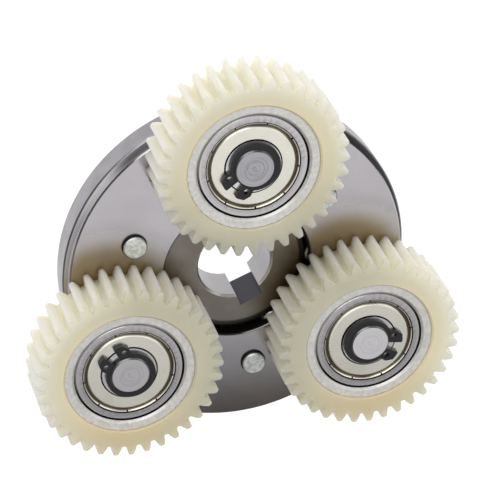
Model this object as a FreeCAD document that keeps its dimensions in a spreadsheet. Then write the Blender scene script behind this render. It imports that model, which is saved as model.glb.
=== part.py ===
import FreeCAD, Part
import Sketcher
import math
import os

# Planetary gear set of a geared hub motor: a carrier with a one-way roller
# clutch at its centre and three nylon planet gears on ball bearings.
#
# Row frame: millimetres, +Z along the main axis towards the planet gears.
# The origin is on the main axis at the rear face of the clutch's inner race.
# Planet 1 stands at 90 degrees about Z, planet 2 at 210 and planet 3 at 330.

V = FreeCAD.Vector
PLANETS = ((1, 90), (2, 210), (3, 330))
ROLLERS = 6
BALLS = 7

DIMENSIONS = {
    # clutch inner race (the hub that takes the motor shaft)
    "bore_radius": 7.5,
    "hub_radius": 14.7,
    "hub_face_radius": 14.4,
    "hub_journal_radius": 12.5,
    "hub_shoulder_level": 4.05,
    "hub_front": 9.3,
    "hub_edge": 0.4,
    "keyway_width": 5.0,
    "keyway_floor": 9.8,
    "keyway_angle": -67.8,
    "snap_groove_radius": 11.95,
    "snap_groove_rear": 0.65,
    "snap_ring_thickness": 1.2,
    # rear cover, cam ring and front plate of the carrier
    "cover_rear": 2.0,
    "cover_front": 4.0,
    "cover_radius": 33.9,
    "cover_bore_radius": 12.55,
    "cam_ring_radius": 35.2,
    "cam_ring_front": 9.7,
    "cam_bore_radius": 16.3,
    "plate_front": 11.75,
    "plate_radius": 34.3,
    "plate_opening_radius": 15.2,
    "edge_break": 0.3,
    # pins through the carrier
    "pin_circle": 28.5,
    "pin_radius": 4.0,
    "pin_head_radius": 4.8,
    "pin_head_rear": 1.2,
    "pin_end": 23.35,
    "circlip_groove_radius": 3.8,
    "dowel_circle": 22.6,
    "dowel_radius": 2.45,
    "dowel_rear": 1.6,
    "dowel_front": 12.8,
    "dowel_hole_radius": 2.6,
    "spacer_radius": 5.6,
    # planet gears, module 1 with 36 teeth
    "gear_module": 1.0,
    "gear_rear": 12.4,
    "gear_front": 23.2,
    "gear_bore_radius": 13.2,
    "sleeve_front": 22.6,
    "sleeve_shoulder_radius": 9.8,
    # ball bearings 8 x 22 x 7
    "bearing_rear": 15.1,
    "bearing_front": 22.1,
    "bearing_radius": 11.0,
    "bearing_edge": 0.3,
    "inner_shoulder_radius": 5.95,
    "inner_step_radius": 5.5,
    "outer_shoulder_radius": 9.05,
    "shield_seat_radius": 9.45,
    "shield_rim_radius": 9.28,
    "ball_circle": 7.5,
    "ball_radius": 1.9845,
    "groove_curve": 2.06,
    "groove_gap": 0.03,
    "shield_bore_radius": 5.8,
    "shield_groove_radius": 8.7,
    # circlips for an 8 mm shaft
    "circlip_thickness": 0.8,
    "circlip_outer_radius": 5.0,
    "circlip_offset": 0.3,
    # clutch rollers and springs
    "roller_radius": 2.5,
    "roller_rear": 4.2,
    "roller_front": 9.5,
    "roller_gap": 0.03,
}
TEETH = 36
GEAR_TURN = {1: 0.6, 2: 0.1, 3: 1.5}
SHIELD_TURN = {1: 33.4, 2: 27.0, 3: 10.0}
CIRCLIP_TURN = {1: 226.9, 2: 128.3, 3: 341.9}
DOWEL_ANGLES = (38.9, 158.9, 278.9)

doc = FreeCAD.newDocument("planetary_gear_set")
sheet = doc.addObject("Spreadsheet::Sheet", "dims")
for line, (alias, number) in enumerate(DIMENSIONS.items(), start=1):
    sheet.set("A%d" % line, alias)
    sheet.set("B%d" % line, str(number))
    sheet.setAlias("B%d" % line, alias)
doc.recompute()

made = []


def value(expression):
    """The number a dimension expression stands for."""
    if isinstance(expression, (int, float)):
        return float(expression)
    words = expression.replace("dims.", "").split()
    filled = " ".join(str(DIMENSIONS.get(w, w)) for w in words)
    return float(sheet.evalExpression(filled))


def named(expression):
    """The same expression with the sheet's name in front of every dimension."""
    words = expression.split()
    return " ".join("dims." + w if w in DIMENSIONS else w for w in words)


def new_body(name):
    body = doc.addObject("PartDesign::Body", name)
    body.Label = name
    made.append(body)
    return body


def origin_part(body, role):
    return next(f for f in body.Origin.OriginFeatures if f.Role == role)


def new_sketch(body, role, level=None):
    sketch = body.newObject("Sketcher::SketchObject", body.Name + "_sketch")
    sketch.AttachmentSupport = (origin_part(body, role), [""])
    sketch.MapMode = "FlatFace"
    if level is not None:
        sketch.AttachmentOffset = FreeCAD.Placement(V(0, 0, value(level)), FreeCAD.Rotation())
        if isinstance(level, str):
            sketch.setExpression(".AttachmentOffset.Base.z", named(level))
    return sketch


def bind(sketch, index, expression):
    if isinstance(expression, str):
        sketch.setExpression("Constraints[%d]" % index, named(expression))


def add_polygon(sketch, points):
    """Closed outline through points given as pairs of expressions or numbers."""
    first = sketch.GeometryCount
    spots = [V(value(x), value(y), 0) for x, y in points]
    count = len(spots)
    for i in range(count):
        sketch.addGeometry(Part.LineSegment(spots[i], spots[(i + 1) % count]), False)
    for i in range(count):
        sketch.addConstraint(Sketcher.Constraint("Coincident", first + i, 2, first + (i + 1) % count, 1))
    for i, (x, y) in enumerate(points):
        for kind, given, number in (("DistanceX", x, spots[i].x), ("DistanceY", y, spots[i].y)):
            index = sketch.addConstraint(Sketcher.Constraint(kind, -1, 1, first + i, 1, number))
            bind(sketch, index, given)


def add_circle(sketch, radius, x=0.0, y=0.0):
    index = sketch.addGeometry(Part.Circle(V(value(x), value(y), 0), V(0, 0, 1), value(radius)), False)
    bind(sketch, sketch.addConstraint(Sketcher.Constraint("Radius", index, value(radius))), radius)
    for kind, given in (("DistanceX", x), ("DistanceY", y)):
        number = value(given)
        bind(sketch, sketch.addConstraint(Sketcher.Constraint(kind, -1, 1, index, 3, number)), given)


def revolve(name, points):
    """A turned piece from its half section, points being (radius, height)."""
    body = new_body(name)
    sketch = new_sketch(body, "XZ_Plane")
    add_polygon(sketch, points)
    doc.recompute()
    turned = body.newObject("PartDesign::Revolution", name + "_turned")
    turned.Profile = sketch
    turned.ReferenceAxis = (sketch, ["V_Axis"])
    turned.Angle = 360
    doc.recompute()
    return body


def groove(body, points=None, circle=None):
    """Turn a channel into a body, from a polygon or a circle in its half section."""
    before = body.Shape.Volume
    sketch = new_sketch(body, "XZ_Plane")
    if points:
        add_polygon(sketch, points)
    else:
        add_circle(sketch, *circle)
    doc.recompute()
    cut = body.newObject("PartDesign::Groove", body.Name + "_groove")
    cut.Profile = sketch
    cut.ReferenceAxis = (sketch, ["V_Axis"])
    cut.Angle = 360
    doc.recompute()
    assert body.Shape.Volume < before - 1e-6, body.Name
    return cut


def pad(body, level, length, draw):
    sketch = new_sketch(body, "XY_Plane", level)
    draw(sketch)
    doc.recompute()
    block = body.newObject("PartDesign::Pad", body.Name + "_pad")
    block.Profile = sketch
    block.Length = value(length)
    if isinstance(length, str):
        block.setExpression("Length", named(length))
    doc.recompute()
    return block


def pocket(body, draw):
    """Cut an outline right through a body along Z."""
    before = body.Shape.Volume
    sketch = new_sketch(body, "XY_Plane")
    draw(sketch)
    doc.recompute()
    cut = body.newObject("PartDesign::Pocket", body.Name + "_pocket")
    cut.Profile = sketch
    cut.Type = 1
    cut.Reversed = True
    doc.recompute()
    assert body.Shape.Volume < before - 1e-6, body.Name
    return cut


def pattern(body, feature, count):
    ring = body.newObject("PartDesign::PolarPattern", body.Name + "_pattern")
    ring.Originals = [feature]
    ring.Axis = (origin_part(body, "Z_Axis"), [""])
    ring.Angle = 360
    ring.Occurrences = count
    body.Tip = ring
    doc.recompute()
    return ring


def place(piece, circle=None, angle=0.0, turn=0.0):
    """Stand a piece on a circle about the main axis and turn it about its own."""
    radius = value(circle) if circle else 0.0
    aim = math.radians(angle)
    spot = V(radius * math.cos(aim), radius * math.sin(aim), 0)
    piece.Placement = FreeCAD.Placement(spot, FreeCAD.Rotation(V(0, 0, 1), turn))
    if circle:
        piece.setExpression(".Placement.Base.x", "dims.%s * cos(%r deg)" % (circle, float(angle)))
        piece.setExpression(".Placement.Base.y", "dims.%s * sin(%r deg)" % (circle, float(angle)))


def on_circle(circle, angle):
    """Expressions for a point on a named circle."""
    across = math.cos(math.radians(angle))
    up = math.sin(math.radians(angle))
    return "%s * %.9f" % (circle, across), "%s * %.9f" % (circle, up)


def pin_holes(body, dowel_hole):
    """Three planet pin holes and three dowel holes through a carrier disc."""
    def planet_holes(sketch):
        for _, angle in PLANETS:
            add_circle(sketch, "pin_radius", *on_circle("pin_circle", angle))

    def dowel_holes(sketch):
        for angle in DOWEL_ANGLES:
            add_circle(sketch, dowel_hole, *on_circle("dowel_circle", angle))

    pocket(body, planet_holes)
    pocket(body, dowel_holes)


# ---------------------------------------------------------------- clutch hub

hub = revolve("clutch_inner_race", [
    ("bore_radius + hub_edge", 0.0),
    ("hub_journal_radius - hub_edge", 0.0),
    ("hub_journal_radius", "hub_edge"),
    ("hub_journal_radius", "hub_shoulder_level"),
    ("hub_radius", "hub_shoulder_level"),
    ("hub_radius", "hub_front - 0.3"),
    ("hub_face_radius", "hub_front"),
    ("bore_radius + hub_edge", "hub_front"),
    ("bore_radius", "hub_front - hub_edge"),
    ("bore_radius", "hub_edge"),
])
pocket(hub, lambda s: add_polygon(s, [
    (0.0, "keyway_width / -2"),
    ("keyway_floor", "keyway_width / -2"),
    ("keyway_floor", "keyway_width / 2"),
    (0.0, "keyway_width / 2"),
]))
groove(hub, [
    ("snap_groove_radius", "snap_groove_rear"),
    ("hub_journal_radius + 1", "snap_groove_rear"),
    ("hub_journal_radius + 1", "snap_groove_rear + snap_ring_thickness + 0.1"),
    ("snap_groove_radius", "snap_groove_rear + snap_ring_thickness + 0.1"),
])
place(hub, turn=DIMENSIONS["keyway_angle"])


def wedge(sketch, half_angle, reach):
    """A triangle from the axis that opens the gap of a ring at +X."""
    side = reach * math.tan(math.radians(half_angle))
    add_polygon(sketch, [(0.0, 0.0), (reach, -side), (reach, side)])


def open_ring(name, rear, thickness, inner, outer, offset, lug_reach, lug_side, hole, gap):
    """An external circlip: eccentric ring, two drilled lugs and a gap at +X."""
    body = new_body(name)
    pad(body, rear, thickness, lambda s: add_circle(s, outer, offset))
    pad(body, rear, thickness, lambda s: add_polygon(s, [
        (0.0, -lug_side * 0.55),
        (lug_reach * 0.72, -lug_side),
        (lug_reach * 0.93, -lug_side * 0.84),
        (lug_reach, -lug_side * 0.5),
        (lug_reach, lug_side * 0.5),
        (lug_reach * 0.93, lug_side * 0.84),
        (lug_reach * 0.72, lug_side),
        (0.0, lug_side * 0.55),
    ]))
    pocket(body, lambda s: add_circle(s, inner))
    pocket(body, lambda s: wedge(s, gap, lug_reach * 1.3))

    def drill(sketch):
        for side in (-1, 1):
            add_circle(sketch, hole[0], hole[1], side * hole[2])

    pocket(body, drill)
    return body


snap = open_ring("hub_retaining_ring", "snap_groove_rear + 0.05", "snap_ring_thickness",
                 "snap_groove_radius", 14.45, -0.55, 15.6, 4.4, (1.0, 13.9, 2.6), 6.0)
place(snap, turn=100.0)

# ------------------------------------------------------- carrier disc stack

cover = revolve("rear_cover", [
    ("cover_bore_radius", "cover_rear"),
    ("cover_radius - edge_break", "cover_rear"),
    ("cover_radius", "cover_rear + edge_break"),
    ("cover_radius", "cover_front"),
    ("cover_bore_radius", "cover_front"),
])
pin_holes(cover, "dowel_radius")

cam = revolve("cam_ring", [
    ("cam_bore_radius", "cover_front"),
    ("cam_ring_radius - edge_break", "cover_front"),
    ("cam_ring_radius", "cover_front + edge_break"),
    ("cam_ring_radius", "cam_ring_front - edge_break"),
    ("cam_ring_radius - edge_break", "cam_ring_front"),
    ("cam_bore_radius", "cam_ring_front"),
])
ROLLER_CIRCLE = "hub_radius + roller_radius + roller_gap"
RAMP_ANGLE = 6.0
SPRING_AXIS = 17.1


def roller_pocket(sketch):
    """Ramp over one roller with the seat of its spring beside it, at +X."""
    centre = value(ROLLER_CIRCLE)
    reach = value("roller_radius") + 0.05
    lean = math.tan(math.radians(RAMP_ANGLE))
    ramp = centre + reach / math.cos(math.radians(RAMP_ANGLE))
    add_polygon(sketch, [
        (15.0, -2.75),
        (ramp - 2.75 * lean, -2.75),
        (ramp + 2.9 * lean, 2.9),
        (SPRING_AXIS + 1.4, 2.9),
        (SPRING_AXIS + 1.4, 6.3),
        (15.0, 6.3),
    ])


pattern(cam, pocket(cam, roller_pocket), ROLLERS)
pin_holes(cam, "dowel_radius")

plate = revolve("carrier_plate", [
    ("plate_opening_radius", "cam_ring_front"),
    ("plate_radius", "cam_ring_front"),
    ("plate_radius", "plate_front - edge_break"),
    ("plate_radius - edge_break", "plate_front"),
    ("plate_opening_radius + 0.2", "plate_front"),
    ("plate_opening_radius", "plate_front - 0.2"),
])
pin_holes(plate, "dowel_hole_radius")

for number, angle in enumerate(DOWEL_ANGLES, start=1):
    dowel = revolve("assembly_pin_%d" % number, [
        (0.0, "dowel_rear"),
        ("dowel_radius - edge_break", "dowel_rear"),
        ("dowel_radius", "dowel_rear + edge_break"),
        ("dowel_radius", "dowel_front - edge_break"),
        ("dowel_radius - edge_break", "dowel_front"),
        (0.0, "dowel_front"),
    ])
    place(dowel, "dowel_circle", angle)

# --------------------------------------------------- clutch rollers, springs

for number in range(1, ROLLERS + 1):
    angle = (number - 1) * 360.0 / ROLLERS
    aim = math.radians(angle)
    roller = revolve("roller_%d" % number, [
        (0.0, "roller_rear"),
        ("roller_radius - edge_break", "roller_rear"),
        ("roller_radius", "roller_rear + edge_break"),
        ("roller_radius", "roller_front - edge_break"),
        ("roller_radius - edge_break", "roller_front"),
        (0.0, "roller_front"),
    ])
    centre = value(ROLLER_CIRCLE)
    roller.Placement = FreeCAD.Placement(V(centre * math.cos(aim), centre * math.sin(aim), 0),
                                         FreeCAD.Rotation())
    total = "(" + named(ROLLER_CIRCLE) + ")"
    roller.setExpression(".Placement.Base.x", "%s * cos(%r deg)" % (total, angle))
    roller.setExpression(".Placement.Base.y", "%s * sin(%r deg)" % (total, angle))

    helix = doc.addObject("Part::Helix", "spring_path_%d" % number)
    helix.Pitch = 0.78
    helix.Height = 3.0
    helix.Radius = 0.9
    wire = doc.addObject("Part::Circle", "spring_wire_%d" % number)
    wire.Radius = 0.18
    wire.Placement = FreeCAD.Placement(V(0.9, 0, 0), FreeCAD.Rotation(V(1, 0, 0), 90))
    spring = doc.addObject("Part::Sweep", "roller_spring_%d" % number)
    spring.Label = "roller_spring_%d" % number
    spring.Sections = [wire]
    spring.Spine = (helix, [])
    spring.Solid = True
    spring.Frenet = True
    seat = FreeCAD.Placement(V(SPRING_AXIS, 2.85, 6.85), FreeCAD.Rotation(V(1, 0, 0), -90))
    turn = FreeCAD.Placement(V(0, 0, 0), FreeCAD.Rotation(V(0, 0, 1), angle))
    spring.Placement = turn.multiply(seat)
    made.append(spring)
doc.recompute()

# -------------------------------------------------------------- planet gears


def flank_angle(radius, pitch_radius, base_radius):
    """Half the angle across a tooth space at a radius, for involute flanks."""
    def involute(r):
        lean = math.acos(min(1.0, base_radius / r))
        return math.tan(lean) - lean
    return math.pi / TEETH / 2 + involute(radius) - involute(pitch_radius)


def tooth_space(sketch):
    """One space between teeth, centred on +X."""
    module = value("gear_module")
    pitch_radius = module * TEETH / 2
    base_radius = pitch_radius * math.cos(math.radians(20))
    root = pitch_radius - 1.25 * module
    corner = pitch_radius + 0.72 * module
    steps = [root + 0.22, base_radius + 0.15, pitch_radius - 0.4, pitch_radius, pitch_radius + 0.4, corner]
    rounding = ((pitch_radius + 0.92 * module, 0.09), (pitch_radius + 1.02 * module, 0.28),
                (pitch_radius + 1.4 * module, 0.75))
    sides = []
    for side in (1, -1):
        spots = []
        for r in steps:
            half = side * flank_angle(max(r, base_radius), pitch_radius, base_radius)
            spots.append(V(r * math.cos(half), r * math.sin(half), 0))
        for r, widening in rounding:
            half = side * (flank_angle(r, pitch_radius, base_radius) + widening / r)
            spots.append(V(r * math.cos(half), r * math.sin(half), 0))
        curve = Part.BSplineCurve()
        curve.interpolate(spots)
        sketch.addGeometry(curve, False)
        sides.append(spots)
    sketch.addGeometry(Part.LineSegment(sides[0][-1], sides[1][-1]), False)
    sketch.addGeometry(Part.Arc(sides[0][0], V(root, 0, 0), sides[1][0]), False)


def planet_gear(name):
    body = revolve(name, [
        ("gear_bore_radius", "gear_rear + 0.3"),
        ("gear_bore_radius + 0.3", "gear_rear"),
        ("gear_module * 19 - 0.25", "gear_rear"),
        ("gear_module * 19", "gear_rear + 0.25"),
        ("gear_module * 19", "gear_front - 0.25"),
        ("gear_module * 19 - 0.25", "gear_front"),
        ("gear_bore_radius + 0.3", "gear_front"),
        ("gear_bore_radius", "gear_front - 0.3"),
    ])
    pattern(body, pocket(body, tooth_space), TEETH)
    return body


def sleeve(name):
    """Steel insert in the gear, with the seat and rear shoulder of the bearing."""
    body = revolve(name, [
        ("sleeve_shoulder_radius", "gear_rear + 0.95"),
        ("gear_bore_radius - 0.3", "gear_rear + 0.95"),
        ("gear_bore_radius", "gear_rear + 1.25"),
        ("gear_bore_radius", "sleeve_front - 0.15"),
        ("gear_bore_radius - 0.15", "sleeve_front"),
        ("bearing_radius + 0.6", "sleeve_front"),
        ("bearing_radius + 0.5", "sleeve_front - 0.05"),
        ("bearing_radius + 0.16", "bearing_front + 0.12"),
        ("bearing_radius + 0.14", "bearing_front"),
        ("bearing_radius + 0.14", "bearing_front - 1.0"),
        ("bearing_radius", "bearing_front - 1.1"),
        ("bearing_radius", "bearing_rear"),
        ("sleeve_shoulder_radius", "bearing_rear"),
    ])
    notch = pocket(body, lambda s: add_polygon(s, [
        ("gear_bore_radius - 0.22", 0.0),
        ("gear_bore_radius + 0.2", -0.45),
        ("gear_bore_radius + 0.2", 0.45),
    ]))
    pattern(body, notch, 48)
    return body


# ------------------------------------------------------------- ball bearings

MID = "( bearing_front + bearing_rear ) / 2"


def outer_race(name):
    body = revolve(name, [
        ("shield_seat_radius", "bearing_rear"),
        ("bearing_radius - bearing_edge", "bearing_rear"),
        ("bearing_radius", "bearing_rear + bearing_edge"),
        ("bearing_radius", "bearing_front - bearing_edge"),
        ("bearing_radius - bearing_edge", "bearing_front"),
        ("shield_seat_radius", "bearing_front"),
        ("shield_seat_radius", "bearing_front - 0.75"),
        ("outer_shoulder_radius", "bearing_front - 0.75"),
        ("outer_shoulder_radius", "bearing_rear + 0.75"),
        ("shield_seat_radius", "bearing_rear + 0.75"),
    ])
    groove(body, circle=("groove_curve", "ball_circle + ball_radius + groove_gap - groove_curve", MID))
    return body


def inner_race(name):
    body = revolve(name, [
        ("pin_radius + 0.25", "bearing_rear"),
        ("inner_step_radius", "bearing_rear"),
        ("inner_step_radius", "bearing_rear + 0.75"),
        ("inner_shoulder_radius", "bearing_rear + 0.75"),
        ("inner_shoulder_radius", "bearing_front - 0.75"),
        ("inner_step_radius", "bearing_front - 0.75"),
        ("inner_step_radius", "bearing_front"),
        ("pin_radius + 0.25", "bearing_front"),
        ("pin_radius", "bearing_front - 0.25"),
        ("pin_radius", "bearing_rear + 0.25"),
    ])
    groove(body, circle=("groove_curve", "ball_circle - ball_radius - groove_gap + groove_curve", MID))
    return body


def cage(name):
    """Snap cage: a ring beside the balls with prongs that stand between them."""
    body = revolve(name, [
        (6.7, MID + " - 2.45"),
        (8.3, MID + " - 2.45"),
        (8.3, MID + " + 0.9"),
        (6.7, MID + " + 0.9"),
    ])
    sketch = new_sketch(body, "XZ_Plane")
    centre_x = value("ball_circle")
    centre_z = value(MID)
    hollow = value("ball_radius") + 0.06
    top = V(centre_x, centre_z + hollow, 0)
    low = V(centre_x, centre_z - hollow, 0)
    sketch.addGeometry(Part.Arc(low, V(centre_x + hollow, centre_z, 0), top), False)
    sketch.addGeometry(Part.LineSegment(top, low), False)
    sketch.addConstraint(Sketcher.Constraint("Coincident", 0, 2, 1, 1))
    sketch.addConstraint(Sketcher.Constraint("Coincident", 1, 2, 0, 1))
    sketch.addConstraint(Sketcher.Constraint("Vertical", 1))
    bind(sketch, sketch.addConstraint(Sketcher.Constraint("Radius", 0, hollow)), "ball_radius + 0.06")
    doc.recompute()
    cut = body.newObject("PartDesign::Groove", name + "_socket")
    cut.Profile = sketch
    cut.ReferenceAxis = (sketch, ["Edge2"])
    cut.Angle = 360
    doc.recompute()
    pattern(body, cut, BALLS)
    return body


def shield(name, front):
    """Pressed shield: flat disc, V groove and a curled rim in the race."""
    face = "bearing_front - 0.12" if front else "bearing_rear + 0.12"
    sign = "-" if front else "+"

    def depth(amount):
        return "%s %s %s" % (face, sign, amount)

    return revolve(name, [
        ("shield_bore_radius", face),
        ("shield_groove_radius - 0.55", face),
        ("shield_groove_radius - 0.4", depth(0.03)),
        ("shield_groove_radius - 0.06", depth(0.3)),
        ("shield_groove_radius + 0.06", depth(0.3)),
        ("shield_groove_radius + 0.36", depth(0.03)),
        ("shield_groove_radius + 0.44", face),
        ("shield_rim_radius - 0.06", face),
        ("shield_rim_radius", depth(0.06)),
        ("shield_rim_radius", depth(0.42)),
        ("shield_seat_radius", depth(0.42)),
        ("shield_seat_radius", depth(0.6)),
        ("shield_groove_radius - 0.1", depth(0.6)),
        ("shield_groove_radius - 0.5", depth(0.25)),
        ("shield_bore_radius", depth(0.25)),
    ])


def rim_slots(body):
    """Nine narrow notches that split the curled rim of a shield."""
    def notch(sketch):
        add_polygon(sketch, [(8.9, -0.16), (9.6, -0.16), (9.6, 0.16), (8.9, 0.16)])
    pattern(body, pocket(body, notch), 9)


for number, angle in PLANETS:
    gear = planet_gear("planet_gear_%d" % number)
    place(gear, "pin_circle", angle, GEAR_TURN[number] + 180.0 / TEETH)
    insert = sleeve("gear_sleeve_%d" % number)
    place(insert, "pin_circle", angle, GEAR_TURN[number])
    place(outer_race("bearing_outer_race_%d" % number), "pin_circle", angle)
    place(inner_race("bearing_inner_race_%d" % number), "pin_circle", angle)
    place(cage("bearing_cage_%d" % number), "pin_circle", angle)
    front = shield("bearing_front_shield_%d" % number, True)
    rim_slots(front)
    place(front, "pin_circle", angle, SHIELD_TURN[number])
    rear = shield("bearing_rear_shield_%d" % number, False)
    rim_slots(rear)
    place(rear, "pin_circle", angle)

    balls = []
    for step in range(BALLS):
        ball = doc.addObject("Part::Sphere", "ball_%d_%d" % (number, step + 1))
        ball.setExpression("Radius", "dims.ball_radius")
        aim = math.radians(step * 360.0 / BALLS)
        ring = value("ball_circle")
        ball.Placement = FreeCAD.Placement(V(ring * math.cos(aim), ring * math.sin(aim), value(MID)),
                                           FreeCAD.Rotation())
        balls.append(ball)
    ball_set = doc.addObject("Part::Compound", "bearing_balls_%d" % number)
    ball_set.Label = "bearing_balls_%d" % number
    ball_set.Links = balls
    place(ball_set, "pin_circle", angle)
    made.append(ball_set)

    pin = revolve("planet_pin_%d" % number, [
        (0.0, "pin_head_rear"),
        ("pin_head_radius - edge_break", "pin_head_rear"),
        ("pin_head_radius", "pin_head_rear + edge_break"),
        ("pin_head_radius", "cover_rear"),
        ("pin_radius", "cover_rear"),
        ("pin_radius", "pin_end - edge_break"),
        ("pin_radius - edge_break", "pin_end"),
        (0.0, "pin_end"),
    ])
    groove(pin, [
        ("circlip_groove_radius", "bearing_front"),
        ("pin_radius + 1", "bearing_front"),
        ("pin_radius + 1", "bearing_front + circlip_thickness + 0.05"),
        ("circlip_groove_radius", "bearing_front + circlip_thickness + 0.05"),
    ])
    place(pin, "pin_circle", angle)

    spacer = revolve("pin_spacer_%d" % number, [
        ("pin_radius", "plate_front"),
        ("spacer_radius", "plate_front"),
        ("spacer_radius", "bearing_rear"),
        ("pin_radius", "bearing_rear"),
    ])
    place(spacer, "pin_circle", angle)

    clip = open_ring("circlip_%d" % number, "bearing_front", "circlip_thickness",
                     "circlip_groove_radius", "circlip_outer_radius", "0 - circlip_offset",
                     6.75, 3.55, (0.62, 4.62, 2.3), 10.0)
    place(clip, "pin_circle", angle, CIRCLIP_TURN[number])

doc.recompute()

# -------------------------------------------------------------------- export

os.makedirs("parts", exist_ok=True)
for item in doc.Objects:
    assert "Invalid" not in item.State and "Error" not in item.State, item.Name
for piece in made:
    assert not piece.Shape.isNull() and piece.Shape.isValid(), piece.Label
    piece.Shape.exportStep("parts/%s.step" % piece.Label)
print("pieces", len(made))
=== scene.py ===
import math

import bpy
from mathutils import Matrix, Vector


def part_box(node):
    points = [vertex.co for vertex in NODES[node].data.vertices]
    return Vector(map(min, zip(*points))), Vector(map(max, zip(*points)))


# Looks, light and camera of the planetary gear set. Metres, +Z along the main axis towards the
# planet gears, with the origin at the rear face of the clutch hub. Left, right, upper and lower
# are as the camera sees the set: -X, +X, +Y and -Y.

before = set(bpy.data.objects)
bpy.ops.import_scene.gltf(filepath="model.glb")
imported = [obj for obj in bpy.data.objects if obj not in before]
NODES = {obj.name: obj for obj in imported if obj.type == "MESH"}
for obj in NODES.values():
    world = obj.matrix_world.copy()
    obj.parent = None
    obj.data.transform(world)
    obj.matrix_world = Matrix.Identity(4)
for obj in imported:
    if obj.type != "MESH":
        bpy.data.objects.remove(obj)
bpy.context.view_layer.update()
MM = 0.001
MAIN = (0.0, 0.0, 0.0)


def levels(node):
    """The heights of a node's rear and front."""
    low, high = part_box(node)
    return low[2], high[2]


# ------------------------------------------------------------- sizes of the set

# Planet pins stand on a circle about the main axis, in directions given in degrees.
PIN_CIRCLE = 28.5 * MM
PLANET_ANGLES = {1: 90.0, 2: 210.0, 3: 330.0}
PLANETS = tuple(PLANET_ANGLES)
ROLLERS = 6
PIN_RADIUS = 4.0 * MM

# The clutch hub with its keyway, and the discs around it.
BORE_RADIUS = 7.5 * MM
BORE_EDGE = 0.4 * MM
HUB_RADIUS = 14.7 * MM
HUB_FRONT = levels("clutch_inner_race")[1]
KEYWAY_AIM = math.radians(-67.8)
KEYWAY_FLOOR = 9.8 * MM
KEYWAY_HALF = 2.5 * MM
OPENING_RADIUS = 15.2 * MM
PLATE_RADIUS = 34.3 * MM
RING_FRONT = levels("cam_ring")[1]
DOWEL_REAR, DOWEL_FRONT = levels("assembly_pin_1")

# A planet gear, measured from its own axis, with its sleeve and bearing.
GEAR_REAR, GEAR_FRONT = levels("planet_gear_1")
ROOT_RADIUS = 16.8 * MM
SLEEVE_RADIUS = 13.2 * MM
BEARING_RADIUS = 11.0 * MM
BEARING_FRONT = levels("bearing_outer_race_1")[1]
OUTER_RECESS = 9.4 * MM
INNER_RECESS = 5.9 * MM
SHIELD_RIM = 9.28 * MM
SHIELD_GROOVE = 8.68 * MM

# Painted shade darkens the plate's side and the ring's ledge between these places, from left to right.
SHADE_LEFT, SHADE_RIGHT = -18.0 * MM, 20.0 * MM
# The painted shade on the outer border of the hub and on the wall of the plate's opening fades in between
# these places.
FADE_LEFT, FADE_RIGHT = -10.0 * MM, -4.0 * MM
# A painted highlight on the ledge is brightest in this direction about the main axis, and fades to nothing
# at the second of the two angles below, in radians to either side of it.
LEDGE_HIGHLIGHT = math.radians(142.0)
HIGHLIGHT_FULL, HIGHLIGHT_END = 0.03, 0.30
# The ring counts as inside up to this radius.
RING_INSIDE = 33.0 * MM
# The direction from the upper left to the lower right of a planet.
LOWER_RIGHT = (0.42, -0.91, 0.0)
# A painted reflection of a lower planet's brown nylon is a soft round spot that shows above the planet's
# tips. It tints the plate out to the end radius of that spot and makes it rougher out to ROUGH_END.
REFLECTION_SHIFT = Vector((-2.2, 11.2, 0.0)) * MM
REFLECTION_FULL, REFLECTION_END = 9.5 * MM, 14.4 * MM
ROUGH_FULL, ROUGH_END = 12.0 * MM, 19.0 * MM

# Surface marks, in noise cells per metre, and tones that several materials share.
FINE_TURNING = 9000.0
COARSE_TURNING = 4600.0
HUB_TURNING = 7000.0
SHIELD_TURNING = 5000.0
GRINDING_ALONG, GRINDING_ACROSS = 260.0, 5200.0
WORN_STEEL = (0.85, 0.85, 0.86)
NEAR_BLACK = (0.012, 0.012, 0.012)
CLOUD_SHADE = 0.88


def pin_axis(number):
    aim = math.radians(PLANET_ANGLES[number])
    return (PIN_CIRCLE * math.cos(aim), PIN_CIRCLE * math.sin(aim), 0.0)


def scaled(colour, amount):
    return tuple(amount * part for part in colour)


# --------------------------------------------------------------- shader helpers


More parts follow.
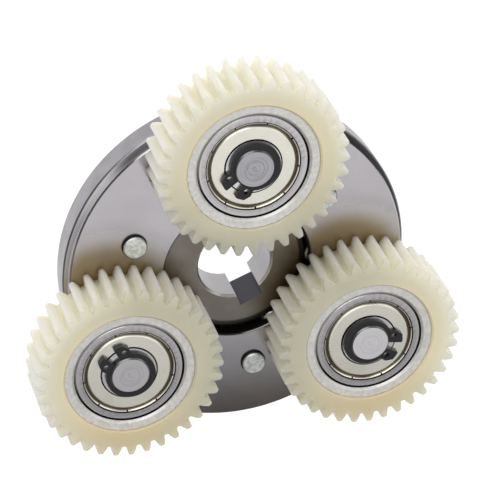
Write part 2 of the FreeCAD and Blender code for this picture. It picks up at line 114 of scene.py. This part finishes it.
class Shader:
    """A node material with one Principled BSDF and short helpers around it.

    Places are object coordinates, which are metres in the frame of the set at rest.
    """

    def __init__(self, name):
        self.material = bpy.data.materials.new(name)
        self.material.use_nodes = True
        self.tree = self.material.node_tree
        self.bsdf = self.tree.nodes["Principled BSDF"]
        self.where = self.tree.nodes.new("ShaderNodeTexCoord").outputs["Object"]

    def node(self, kind, **settings):
        made = self.tree.nodes.new(kind)
        for key, given in settings.items():
            setattr(made, key, given)
        return made

    def feed(self, node, socket, given):
        """Link an output to a node's socket, or set the socket to a number or a colour."""
        if isinstance(given, bpy.types.NodeSocket):
            self.tree.links.new(given, node.inputs[socket])
        else:
            node.inputs[socket].default_value = given

    def set(self, **given):
        for key, item in given.items():
            self.feed(self.bsdf, key.replace("_", " "), item)

    # numbers

    def calc(self, operation, first, second=0.0):
        node = self.node("ShaderNodeMath", operation=operation)
        self.feed(node, 0, first)
        self.feed(node, 1, second)
        return node.outputs[0]

    def plus(self, first, second):
        return self.calc("ADD", first, second)

    def times(self, first, second):
        return self.calc("MULTIPLY", first, second)

    def gap(self, factor, centre):
        """How far a number is from the given one, on either side."""
        return self.calc("ABSOLUTE", self.calc("SUBTRACT", factor, centre))

    def ramp(self, factor, low, high, start, end):
        """A smooth change from start to end while the factor goes from low to high."""
        node = self.node("ShaderNodeMapRange", interpolation_type="SMOOTHSTEP")
        self.feed(node, "Value", factor)
        limits = {"From Min": low, "From Max": high, "To Min": start, "To Max": end}
        for key, given in limits.items():
            self.feed(node, key, given)
        return node.outputs["Result"]

    def rise(self, factor, low, high):
        return self.ramp(factor, low, high, 0.0, 1.0)

    def fall(self, factor, low, high):
        return self.ramp(factor, low, high, 1.0, 0.0)

    # places

    def split(self, vector):
        node = self.node("ShaderNodeSeparateXYZ")
        self.feed(node, 0, vector)
        return node.outputs

    def combine(self, x, y, z):
        node = self.node("ShaderNodeCombineXYZ")
        for index, given in enumerate((x, y, z)):
            self.feed(node, index, given)
        return node.outputs[0]

    def shifted(self, centre):
        node = self.node("ShaderNodeVectorMath", operation="SUBTRACT")
        self.feed(node, 0, self.where)
        self.feed(node, 1, centre)
        return node.outputs[0]

    def reach(self, vector, direction):
        """How far a vector goes in the given direction."""
        node = self.node("ShaderNodeVectorMath", operation="DOT_PRODUCT")
        self.feed(node, 0, vector)
        self.feed(node, 1, direction)
        return node.outputs["Value"]

    def polar(self, centre):
        """Radius and angle, in metres and radians, about a vertical axis."""
        x, y, _ = self.split(self.shifted(centre))
        radius = self.calc("SQRT", self.plus(self.times(x, x), self.times(y, y)))
        return radius, self.calc("ARCTAN2", y, x)

    # patterns

    def noise(self, scale, detail=3.0, vector=None, roughness=0.5):
        node = self.node("ShaderNodeTexNoise")
        self.feed(node, "Scale", scale)
        self.feed(node, "Detail", detail)
        self.feed(node, "Roughness", roughness)
        self.feed(node, "Vector", self.where if vector is None else vector)
        return node.outputs["Fac"]

    def turning_marks(self, centre, pitch, waver=1.2):
        """Fine rings about a vertical axis, broken up a little along their length."""
        radius, angle = self.polar(centre)
        _, _, z = self.split(self.where)
        place = self.combine(self.times(radius, pitch), self.times(angle, waver), self.times(z, pitch))
        return self.noise(1.0, 2.0, place)

    def grinding_marks(self):
        """Fine straight scratches that run along X."""
        x, y, z = self.split(self.where)
        across = [self.times(part, GRINDING_ACROSS) for part in (y, z)]
        return self.noise(1.0, 3.0, self.combine(self.times(x, GRINDING_ALONG), *across))

    # colours and surface

    def mix(self, factor, first, second, blend="MIX"):
        node = self.node("ShaderNodeMix", data_type="RGBA", blend_type=blend)
        self.feed(node, 0, factor)
        for socket, given in ((6, first), (7, second)):
            self.feed(node, socket, (*given, 1.0) if isinstance(given, tuple) else given)
        return node.outputs[2]

    def mottle(self, pattern, first, second, low=0.3, high=0.7):
        """A colour that wanders between two tones with a noise pattern."""
        return self.mix(self.rise(pattern, low, high), first, second)

    def edge_wear(self, low=0.52, high=0.60):
        """A mask that is bright on convex edges."""
        point = self.node("ShaderNodeNewGeometry").outputs["Pointiness"]
        return self.rise(point, low, high)

    def bump(self, height, strength, distance, below=None):
        node = self.node("ShaderNodeBump")
        self.feed(node, "Strength", strength)
        self.feed(node, "Distance", distance)
        self.feed(node, "Height", height)
        if below is not None:
            self.feed(node, "Normal", below)
        return node.outputs["Normal"]


# -------------------------------------------------------------------- materials

# Depths of the nylon's painted light on the tooth sides behind a gear's front, and of its painted shade
# above its rear.
FLANK_LIGHT_BAND = 2.2 * MM
REAR_SHADE_BAND = 2.6 * MM
# Widths of its painted light outside the tooth roots and of its painted glow outside the sleeve.
ROOT_LIGHT_BAND = 1.6 * MM
GLOW_BAND = 4.4 * MM
SCATTER_BAND = 4.0 * MM
# Distances from the main axis between which painted light through the nylon makes it brighter and warmer,
# and the places along Y between which its painted shade along the set's lower edge fades out.
BACKLIGHT_START, BACKLIGHT_FULL, CREAM_LIGHT_FULL = 20.0 * MM, 40.0 * MM, 44.0 * MM
LOWER_FULL, LOWER_END = -36.0 * MM, -18.0 * MM


def nylon(name, centre):
    """Milky cast nylon with less scattering beside the sleeve.

    Painted light: a honey glow beside the sleeve and a brighter cream towards the outside of the set stand
    for light shining through the nylon, and the sides and roots of the teeth are painted pale. Painted
    shade darkens the rear and the set's lower edge.
    """
    s = Shader(name)
    radius, _ = s.polar(centre)
    from_axis, _ = s.polar(MAIN)
    _, y, z = s.split(s.where)
    cloud = s.noise(scale=160.0)
    base = s.mottle(cloud, (0.60, 0.575, 0.425), (0.64, 0.615, 0.465), 0.35, 0.65)

    # Painted light: the nylon is painted a brighter cream towards the outside of the set, where light
    # shines through it.
    backlit_cream = (0.995, 0.91, 0.69)
    base = s.mix(s.rise(from_axis, BACKLIGHT_START, CREAM_LIGHT_FULL), base, backlit_cream)

    # Painted light: the tooth sides near the front and the roots of the teeth are painted paler where they
    # would lie in shade.
    lit_tooth_side = (0.98, 0.94, 0.79)
    flank_light = s.fall(z, GEAR_FRONT - FLANK_LIGHT_BAND, GEAR_FRONT)
    base = s.mix(s.times(flank_light, 0.6), base, lit_tooth_side)

    lit_tooth_root = (1.0, 0.955, 0.74)
    root_light = s.times(s.fall(radius, ROOT_RADIUS, ROOT_RADIUS + ROOT_LIGHT_BAND), flank_light)
    base = s.mix(s.times(root_light, 0.8), base, lit_tooth_root)

    # Painted light: beside the sleeve a honey glow, strongest towards the outside of the set, stands for
    # light shining through the nylon; a little honey tone lies everywhere.
    honey_glow = (0.97, 0.84, 0.55)
    beside_sleeve = s.ramp(radius, SLEEVE_RADIUS, SLEEVE_RADIUS + GLOW_BAND, start=0.80, end=0.06)
    backlight = s.ramp(from_axis, BACKLIGHT_START, BACKLIGHT_FULL, start=0.15, end=1.0)
    base = s.mix(s.plus(s.times(beside_sleeve, backlight), 0.10), base, honey_glow)

    lower_shade = (0.70, 0.62, 0.51)
    base = s.mix(s.fall(y, LOWER_FULL, LOWER_END), base, lower_shade, "MULTIPLY")

    # Painted shade: the nylon is painted darker and browner towards the gear's rear.
    rear_shade_tone = (0.72, 0.57, 0.33)
    rear = s.fall(z, GEAR_REAR, GEAR_REAR + REAR_SHADE_BAND)
    base = s.mix(s.times(rear, 0.60), base, rear_shade_tone)

    s.set(Base_Color=base, Roughness=s.ramp(cloud, 0.3, 0.7, start=0.52, end=0.62))
    scattering = s.ramp(radius, SLEEVE_RADIUS, SLEEVE_RADIUS + SCATTER_BAND, start=0.12, end=0.96)
    s.set(Subsurface_Weight=scattering)
    s.set(IOR=1.42, Subsurface_Radius=(0.90, 0.85, 0.58), Subsurface_Scale=13.0 * MM)
    fine = s.noise(scale=2600.0, detail=4.0)
    s.set(Normal=s.bump(fine, strength=0.10, distance=0.04 * MM))
    return s.material


def turned_steel(name, centre, colour, roughness, recess=None):
    """Steel with fine turning marks and worn edges.

    The recess is a radius and a half width: painted shade makes the steel black there, below the bearing's
    face.
    """
    s = Shader(name)
    rings = s.turning_marks(centre, FINE_TURNING)
    base = s.mottle(s.noise(scale=220.0), scaled(colour, CLOUD_SHADE), colour)
    base = s.mix(s.times(s.edge_wear(), 0.5), base, WORN_STEEL)
    if recess is not None:
        middle, half = recess
        radius, _ = s.polar(centre)
        _, _, z = s.split(s.where)
        level = BEARING_FRONT - 0.04 * MM
        # Painted shade: the recess below the bearing's face is painted black.
        recess_shade = s.fall(s.gap(radius, middle), half, half + 0.03 * MM)
        recess_shade = s.times(recess_shade, s.fall(z, level - 0.04 * MM, level))
        base = s.mix(recess_shade, base, NEAR_BLACK)
    s.set(Base_Color=base, Metallic=1.0)
    s.set(Roughness=s.ramp(rings, 0.25, 0.75, start=roughness - 0.05, end=roughness + 0.07))
    s.set(Normal=s.bump(rings, strength=0.10, distance=0.03 * MM))
    return s.material


def ground_steel(name, colour, roughness):
    """Flat steel with straight grinding marks and worn edges."""
    s = Shader(name)
    marks = s.grinding_marks()
    base = s.mottle(s.noise(scale=90.0, detail=4.0), scaled(colour, CLOUD_SHADE), colour)
    base = s.mix(s.times(s.edge_wear(), 0.5), base, WORN_STEEL)
    s.set(Base_Color=base, Metallic=1.0)
    s.set(Roughness=s.ramp(marks, 0.2, 0.8, start=roughness - 0.04, end=roughness + 0.06))
    s.set(Normal=s.bump(marks, strength=0.08, distance=0.02 * MM))
    return s.material


# Places along LOWER_RIGHT, measured from a planet's axis, between which the shade sets in.
SHADE_START, SHADE_FULL = -7.0 * MM, 2.0 * MM


def lower_right(s, centre):
    """A mask that rises from 0 on the upper left to 1 on the lower right of a planet."""
    return s.rise(s.reach(s.shifted(centre), LOWER_RIGHT), SHADE_START, SHADE_FULL)


def sleeve_steel(name, centre):
    """Tumbled pale steel insert, mottled all over, with a dark joint line beside the bearing that painted
    shade makes darker towards the lower right.
    """
    s = Shader(name)
    radius, _ = s.polar(centre)
    _, _, z = s.split(s.where)
    grain = s.noise(scale=1300.0, detail=5.0, roughness=0.6)
    base = s.mottle(grain, (0.76, 0.75, 0.715), (0.90, 0.885, 0.85), 0.36, 0.64)
    patch = s.rise(s.noise(scale=420.0), 0.45, 0.62)
    patch_tone = (0.74, 0.735, 0.71)
    base = s.mix(s.times(patch, 0.3), base, patch_tone)

    # A dark joint line beside the bearing, with painted shade that darkens it towards the lower right.
    joint_line_and_shade = s.fall(radius, BEARING_RADIUS + 0.19 * MM, BEARING_RADIUS + 0.22 * MM)
    joint_line_and_shade = s.times(joint_line_and_shade, s.fall(z, BEARING_FRONT + 0.01 * MM, BEARING_FRONT + 0.05 * MM))
    joint_line_and_shade = s.times(joint_line_and_shade, s.plus(0.25, s.times(lower_right(s, centre), 0.75)))
    base = s.mix(joint_line_and_shade, base, NEAR_BLACK)

    s.set(Base_Color=base, Metallic=0.65, Roughness=s.ramp(grain, 0.3, 0.7, start=0.42, end=0.54))
    s.set(Normal=s.bump(grain, strength=0.35, distance=0.06 * MM))
    return s.material


# Painted shade darkens the plate's lower part below PLATE_LOWER_END, and its side upwards from the first
# of the two places along Y below.
PLATE_LOWER_FULL, PLATE_LOWER_END = -35.0 * MM, -21.0 * MM
SIDE_LIT, SIDE_SHADED = 22.0 * MM, 27.0 * MM


def plate_steel(name):
    """Ground front plate.

    It has a painted reflection of the nylon by the two lower planets, a lower part darkened by painted
    shade, a side with a painted reflection that is bright on the left and painted shade towards the right
    and the top, and painted shade on the bevel and the wall of its opening.
    """
    s = Shader(name)
    radius, _ = s.polar(MAIN)
    x, y, _ = s.split(s.where)
    marks = s.grinding_marks()
    base = s.mottle(s.noise(scale=90.0, detail=4.0), (0.47, 0.45, 0.468), (0.51, 0.487, 0.505))
    rough = s.ramp(marks, 0.2, 0.8, start=0.13, end=0.16)

    # Painted reflection: a brown spot of reflected nylon above each lower planet, where the plate is also
    # rougher.
    nylon_reflection = (0.68, 0.58, 0.39)
    for number in (2, 3):
        spot = Vector(pin_axis(number)) + REFLECTION_SHIFT
        away, _ = s.polar(tuple(spot))
        base = s.mix(s.fall(away, REFLECTION_FULL, REFLECTION_END), base, nylon_reflection, "MULTIPLY")
        rough = s.plus(rough, s.times(s.fall(away, ROUGH_FULL, ROUGH_END), 0.22))

    lower_shade = (0.58, 0.53, 0.46)
    base = s.mix(s.fall(y, PLATE_LOWER_FULL, PLATE_LOWER_END), base, lower_shade, "MULTIPLY")

    # Painted reflection and shade: the plate's side is painted bright on the left and dark towards the
    # right and the top.
    lit_side_tone, shaded_side_tone = (0.50, 0.49, 0.50), (0.13, 0.127, 0.13)
    side = s.rise(radius, PLATE_RADIUS - 0.2 * MM, PLATE_RADIUS - 0.1 * MM)
    side_shade = s.calc("MAXIMUM", s.rise(x, SHADE_LEFT, SHADE_RIGHT), s.rise(y, SIDE_LIT, SIDE_SHADED))
    base = s.mix(side, base, s.mix(side_shade, lit_side_tone, shaded_side_tone))

    # Painted shade: the bevel of the plate's opening is painted dark all round, and its wall dark except
    # on the left.
    painted_bevel_tone, opening_shade_tone = (0.13, 0.125, 0.12), (0.030, 0.027, 0.025)
    bevel_shade = s.fall(radius, OPENING_RADIUS + 0.2 * MM, OPENING_RADIUS + 0.4 * MM)
    base = s.mix(bevel_shade, base, painted_bevel_tone)
    opening_shade = s.fall(radius, OPENING_RADIUS + 0.01 * MM, OPENING_RADIUS + 0.06 * MM)
    opening_shade = s.times(opening_shade, s.rise(x, FADE_LEFT, FADE_RIGHT))
    base = s.mix(opening_shade, base, opening_shade_tone)
    rough = s.plus(rough, s.times(opening_shade, 0.35))

    s.set(Base_Color=base, Metallic=1.0, Roughness=rough)
    s.set(Normal=s.bump(marks, strength=0.03, distance=0.02 * MM))
    return s.material


def ring_steel(name):
    """Turned cam ring with painted shade on its inside.

    Painted shade darkens the ledge around the plate towards the right, and a painted highlight makes it
    shine at the upper left.
    """
    s = Shader(name)
    radius, angle = s.polar(MAIN)
    x, _, z = s.split(s.where)
    rings = s.turning_marks(MAIN, FINE_TURNING)
    base = s.mottle(s.noise(scale=220.0), (0.28, 0.27, 0.29), (0.34, 0.33, 0.35))

    # Painted reflection, shade and highlight on the ledge: bright on the left, dark on the right, shining
    # at the upper left.
    lit_ledge_tone, shaded_ledge_tone, ledge_highlight_tone = (0.60, 0.59, 0.60), (0.07, 0.068, 0.07), (0.97, 0.97, 0.97)
    ledge_light = s.mix(s.rise(x, SHADE_LEFT, SHADE_RIGHT), lit_ledge_tone, shaded_ledge_tone)
    ledge_light = s.mix(s.fall(s.gap(angle, LEDGE_HIGHLIGHT), HIGHLIGHT_FULL, HIGHLIGHT_END), ledge_light, ledge_highlight_tone)
    ledge = s.rise(z, RING_FRONT - 0.07 * MM, RING_FRONT - 0.02 * MM)
    base = s.mix(ledge, base, ledge_light)

    # Painted shade: the inside of the ring is painted dark.
    inside_shade_tone = (0.20, 0.18, 0.165)
    base = s.mix(s.fall(radius, RING_INSIDE, RING_INSIDE + 0.5 * MM), base, inside_shade_tone)

    s.set(Base_Color=base, Metallic=1.0, Roughness=s.ramp(rings, 0.25, 0.75, start=0.27, end=0.39))
    s.set(Normal=s.bump(rings, strength=0.10, distance=0.03 * MM))
    return s.material


def pin_steel(name, centre, colour, plainness):
    """Planet pin with painted shade on its edge and lathe rings on its end face, which show most in the
    middle.
    """
    s = Shader(name)
    radius, _ = s.polar(centre)
    rings = s.turning_marks(centre, COARSE_TURNING, 0.4)
    fine = s.turning_marks(centre, FINE_TURNING)
    middle = s.ramp(radius, 2.2 * MM, 3.2 * MM, start=1.0, end=0.35)
    mark = s.times(s.rise(rings, 0.42, 0.60), middle)
    base = s.mix(s.times(mark, plainness), colour, scaled(colour, 0.6))
    # Painted shade: the pin's chamfered edge is painted dark.
    edge_shade = s.rise(radius, PIN_RADIUS - 0.35 * MM, PIN_RADIUS - 0.28 * MM)
    edge_tone = (0.22, 0.215, 0.22)
    base = s.mix(edge_shade, base, edge_tone)
    s.set(Base_Color=base, Metallic=1.0, Roughness=s.ramp(fine, 0.25, 0.75, start=0.28, end=0.42))
    fine_bump = s.bump(fine, strength=0.10, distance=0.03 * MM)
    s.set(Normal=s.bump(rings, strength=0.25 * plainness, distance=0.04 * MM, below=fine_bump))
    return s.material


def shield_steel(name, centre):
    """Zinc-yellow pressed sheet with painted brown shade down in its groove, stronger towards the lower
    right, and painted shade on the side of its rim and on the walls of the notches in its rim.
    """
    s = Shader(name)
    radius, _ = s.polar(centre)
    cloud = s.noise(scale=260.0)
    base = s.mottle(cloud, (0.90, 0.875, 0.775), (0.93, 0.905, 0.81))

    # Painted shade: the groove is painted brown and dark, more so towards the lower right.
    groove_shade = s.fall(s.gap(radius, SHIELD_GROOVE), 0.12 * MM, 0.40 * MM)
    groove_shade_tone, shade_tone = (0.10, 0.085, 0.05), (0.16, 0.13, 0.07)
    base = s.mix(s.times(groove_shade, 0.93), base, groove_shade_tone)
    inner_side = s.rise(radius, SHIELD_GROOVE - 0.53 * MM, SHIELD_GROOVE - 0.23 * MM)
    outer_side = s.fall(radius, SHIELD_GROOVE + 0.20 * MM, SHIELD_GROOVE + 0.28 * MM)
    shade = s.times(s.times(inner_side, outer_side), lower_right(s, centre))
    base = s.mix(s.times(shade, 0.85), base, shade_tone)

    # Painted shade: the side of the rim and the walls of its notches are painted dark.
    rim_shade = s.rise(radius, SHIELD_RIM - 0.10 * MM, SHIELD_RIM - 0.04 * MM)
    rim_shade_tone, notch_shade_tone = (0.05, 0.045, 0.035), (0.012, 0.011, 0.010)
    base = s.mix(rim_shade, base, rim_shade_tone)
    _, _, upward = s.split(s.node("ShaderNodeNewGeometry").outputs["Normal"])
    upright_wall = s.fall(s.gap(upward, 0.0), 0.2, 0.4)
    near_rim = s.rise(radius, SHIELD_GROOVE + 0.17 * MM, SHIELD_GROOVE + 0.22 * MM)
    base = s.mix(s.times(upright_wall, near_rim), base, notch_shade_tone)

    s.set(Base_Color=base, Metallic=1.0, Roughness=s.ramp(cloud, 0.3, 0.7, start=0.26, end=0.34))
    rings = s.turning_marks(centre, SHIELD_TURNING)
    s.set(Normal=s.bump(rings, strength=0.03, distance=0.03 * MM))
    return s.material


# The bore's painted light changes between these directions about the main axis.
BORE_LOWER_AIM, BORE_RIGHT_AIM = -0.9, -0.2


def hub_steel(name):
    """Turned hub with grey faces painted brown as a painted reflection of the nylon, a bore painted
    lighter at the bottom than on the right, and a keyway painted black as painted shade.

    Painted shade darkens the outer border of its faces everywhere but on the left, and painted light
    brightens the bore's chamfer.
    """
    s = Shader(name)
    radius, angle = s.polar(MAIN)
    x, _, z = s.split(s.where)
    rings = s.turning_marks(MAIN, HUB_TURNING)
    # The brown in the faces is a painted reflection of the shaded nylon.
    face = s.mottle(s.noise(scale=200.0), (0.225, 0.198, 0.178), (0.27, 0.242, 0.22))

    # Painted light: the bore is painted lighter at the bottom than on the right.
    lit_bore_tone, shaded_bore_tone = (0.40, 0.39, 0.40), (0.33, 0.322, 0.335)
    bore_light_tone = s.mix(s.rise(angle, BORE_LOWER_AIM, BORE_RIGHT_AIM), lit_bore_tone, shaded_bore_tone)
    bore = s.fall(radius, BORE_RADIUS + 0.3 * MM, BORE_RADIUS + 0.5 * MM)
    base = s.mix(bore, face, bore_light_tone)

    # Painted shade: the outer border of the faces is painted dark except on the left.
    border_shade_tone = (0.060, 0.054, 0.050)
    border_shade = s.rise(radius, HUB_RADIUS - 1.6 * MM, HUB_RADIUS - 1.0 * MM)
    border_shade = s.times(border_shade, s.rise(x, FADE_LEFT, FADE_RIGHT))
    base = s.mix(border_shade, base, border_shade_tone)

    # Painted light: the bore's chamfer is painted bright.
    painted_bevel_tone = (0.70, 0.69, 0.68)
    bevel_start = s.rise(radius, BORE_RADIUS + 0.02 * MM, BORE_RADIUS + 0.08 * MM)
    bevel_end = s.fall(radius, BORE_RADIUS + BORE_EDGE, BORE_RADIUS + BORE_EDGE + 0.05 * MM)
    base = s.mix(s.times(bevel_start, bevel_end), base, painted_bevel_tone)

    # Painted shade: the keyway is painted black.
    slot_shade_tone = (0.055, 0.055, 0.064)
    outward = s.reach(s.where, (math.cos(KEYWAY_AIM), math.sin(KEYWAY_AIM), 0.0))
    sideways = s.reach(s.where, (-math.sin(KEYWAY_AIM), math.cos(KEYWAY_AIM), 0.0))
    slot_shade = s.times(s.rise(outward, KEYWAY_FLOOR - 0.3 * MM, KEYWAY_FLOOR - 0.1 * MM),
                   s.fall(s.gap(sideways, 0.0), KEYWAY_HALF + 0.02 * MM, KEYWAY_HALF + 0.08 * MM))
    slot_shade = s.times(slot_shade, s.fall(z, HUB_FRONT - 0.04 * MM, HUB_FRONT - 0.01 * MM))
    base = s.mix(slot_shade, base, slot_shade_tone)

    s.set(Base_Color=base, Metallic=1.0, Roughness=s.ramp(rings, 0.25, 0.75, start=0.27, end=0.37))
    s.set(Normal=s.bump(rings, strength=0.10, distance=0.03 * MM))
    return s.material


def blackened(name):
    """Oiled black spring steel, a little greyer on its edges."""
    s = Shader(name)
    cloud = s.noise(scale=900.0, detail=4.0)
    base = s.mottle(cloud, (0.004, 0.004, 0.005), (0.010, 0.010, 0.011))
    edge_tone = (0.06, 0.06, 0.063)
    base = s.mix(s.times(s.edge_wear(0.53, 0.66), 0.35), base, edge_tone)
    s.set(Base_Color=base, Metallic=0.0, IOR=1.36, Roughness=s.ramp(cloud, 0.3, 0.7, start=0.30, end=0.42))
    s.set(Normal=s.bump(cloud, strength=0.15, distance=0.03 * MM))
    return s.material


def dowel_steel(name):
    """Dark pin with bright, frosted and mottled ends."""
    s = Shader(name)
    cloud = s.noise(scale=1000.0, detail=5.0, roughness=0.65)
    _, _, z = s.split(s.where)
    front = s.rise(z, DOWEL_FRONT - 0.28 * MM, DOWEL_FRONT - 0.22 * MM)
    rear = s.fall(z, DOWEL_REAR + 0.22 * MM, DOWEL_REAR + 0.28 * MM)
    frosted = s.mottle(cloud, (0.58, 0.60, 0.59), (0.82, 0.84, 0.83), 0.42, 0.58)
    side_tone = (0.060, 0.058, 0.060)
    base = s.mix(s.plus(front, rear), side_tone, frosted)
    s.set(Base_Color=base, Metallic=1.0, Roughness=s.ramp(cloud, 0.4, 0.6, start=0.40, end=0.55))
    s.set(Normal=s.bump(cloud, strength=0.25, distance=0.05 * MM))
    return s.material


# ------------------------------------------------------------ dressing the nodes


def dress(node, material):
    mesh = NODES[node].data
    mesh.materials.clear()
    mesh.materials.append(material)


def dress_carrier():
    spring_steel = blackened("blackened_spring_steel")
    # Painted shade: the rollers and their springs are coloured dark for the shaded cavity they sit in.
    roller_steel = turned_steel("roller_steel", MAIN, (0.20, 0.19, 0.19), 0.34)
    shaded_coil_steel = turned_steel("spring_steel", MAIN, (0.14, 0.135, 0.13), 0.36)
    dress("carrier_plate", plate_steel("plate_steel"))
    dress("cam_ring", ring_steel("ring_steel"))
    dress("rear_cover", ground_steel("cover_steel", (0.52, 0.51, 0.53), 0.34))
    dress("clutch_inner_race", hub_steel("hub_steel"))
    dress("hub_retaining_ring", spring_steel)
    for number in range(1, ROLLERS + 1):
        dress("roller_%d" % number, roller_steel)
        dress("roller_spring_%d" % number, shaded_coil_steel)
    pin_end_steel = dowel_steel("dowel_steel")
    for number in PLANETS:
        dress("assembly_pin_%d" % number, pin_end_steel)
        dress("circlip_%d" % number, spring_steel)


def dress_bearing(number, axis):
    race_colour, inner_colour, ball_colour = (0.49, 0.465, 0.465), (0.74, 0.735, 0.73), (0.8, 0.8, 0.82)
    race = turned_steel("race_steel_%d" % number, axis, race_colour, 0.24, (OUTER_RECESS, 0.10 * MM))
    inner = turned_steel("inner_steel_%d" % number, axis, inner_colour, 0.24, (INNER_RECESS, 0.42 * MM))
    shield = shield_steel("shield_steel_%d" % number, axis)
    dress("bearing_outer_race_%d" % number, race)
    dress("bearing_inner_race_%d" % number, inner)
    dress("bearing_balls_%d" % number, turned_steel("ball_steel_%d" % number, axis, ball_colour, 0.12))
    dress("bearing_cage_%d" % number, nylon("cage_nylon_%d" % number, axis))
    dress("bearing_front_shield_%d" % number, shield)
    dress("bearing_rear_shield_%d" % number, shield)


# Each planet pin's end face: its colour, painted lighter or darker for the light each pin catches, and how
# plainly its lathe rings show.
PIN_LOOKS = {
    1: ((0.54, 0.53, 0.56), 0.7),
    2: ((0.70, 0.68, 0.70), 0.4),
    3: ((0.92, 0.90, 0.92), 0.25),
}


def dress_planet(number):
    axis = pin_axis(number)
    colour, plainness = PIN_LOOKS[number]
    spacer = turned_steel("spacer_steel_%d" % number, axis, (0.55, 0.55, 0.57), 0.32)
    dress("planet_gear_%d" % number, nylon("nylon_%d" % number, axis))
    dress("gear_sleeve_%d" % number, sleeve_steel("sleeve_steel_%d" % number, axis))
    dress("planet_pin_%d" % number, pin_steel("pin_steel_%d" % number, axis, colour, plainness))
    dress("pin_spacer_%d" % number, spacer)
    dress_bearing(number, axis)


dress_carrier()
for planet in PLANETS:
    dress_planet(planet)

# --------------------------------------------------------- stage, light, camera

FLOOR_REACH = 1.6
FLOOR_LEVEL = -0.2 * MM
WORLD_GLOW = 0.14
# Each light: where it stands, where it aims, its width and height, and its radiance.
LIGHTS = {
    "overhead": ((0.0, 0.08, 1.0), (0.0, 0.08, 0.0), (1.9, 1.46), 0.85),
    "key": ((-0.35, 0.95, 0.75), (0.0, 0.0, 0.01), (1.0, 0.7), 2.2),
    "fill": ((1.1, 0.45, 0.85), (0.0, 0.0, 0.01), (0.9, 0.9), 1.25),
}
# The camera's stand point, its own axes in the frame of the set, and its lens in millimetres.
CAMERA_SPOT = (-0.11386, 0.25116, 0.42500)
CAMERA_RIGHT = Vector((0.96468, 0.01416, 0.26308))
CAMERA_UP = Vector((0.11943, 0.86656, -0.48458))
LENS = 179.12
SENSOR = 36.0


def add_floor():
    """A pale table top that glows a little, like the paper sweep of a light table."""
    mesh = bpy.data.meshes.new("floor")
    corners = [(x * FLOOR_REACH, y * FLOOR_REACH, 0.0) for x, y in ((-1, -1), (1, -1), (1, 1), (-1, 1))]
    mesh.from_pydata(corners, [], [(0, 1, 2, 3)])
    floor = bpy.data.objects.new("floor", mesh)
    floor.location.z = FLOOR_LEVEL
    bpy.context.scene.collection.objects.link(floor)
    s = Shader("floor")
    s.set(Base_Color=(0.25, 0.25, 0.25, 1.0), Roughness=0.9)
    s.set(Emission_Color=(1.0, 1.0, 1.0, 1.0), Emission_Strength=0.95)
    mesh.materials.append(s.material)


def add_world():
    world = bpy.data.worlds.new("studio")
    bpy.context.scene.world = world
    world.use_nodes = True
    background = world.node_tree.nodes["Background"]
    background.inputs["Color"].default_value = (1.0, 1.0, 1.0, 1.0)
    background.inputs["Strength"].default_value = WORLD_GLOW


def add_soft_box(name, spot, aim, size, radiance):
    """A rectangular studio light of one even brightness, turned to its aim."""
    width, height = size
    data = bpy.data.lights.new(name, "AREA")
    data.shape = "RECTANGLE"
    data.size = width
    data.size_y = height
    data.energy = radiance * math.pi * width * height
    light = bpy.data.objects.new(name, data)
    light.location = spot
    light.rotation_euler = (Vector(aim) - Vector(spot)).to_track_quat("-Z", "Y").to_euler()
    bpy.context.scene.collection.objects.link(light)


def add_camera():
    data = bpy.data.cameras.new("camera")
    data.lens = LENS
    data.sensor_width = SENSOR
    camera = bpy.data.objects.new("camera", data)
    axes = Matrix((CAMERA_RIGHT, CAMERA_UP, CAMERA_RIGHT.cross(CAMERA_UP)))
    camera.matrix_world = Matrix.Translation(CAMERA_SPOT) @ axes.transposed().to_4x4()
    bpy.context.scene.collection.objects.link(camera)
    bpy.context.scene.camera = camera


add_floor()
add_world()
for title, (spot, aim, size, radiance) in LIGHTS.items():
    add_soft_box(title, spot, aim, size, radiance)
add_camera()
bpy.context.scene.view_settings.view_transform = "Standard"
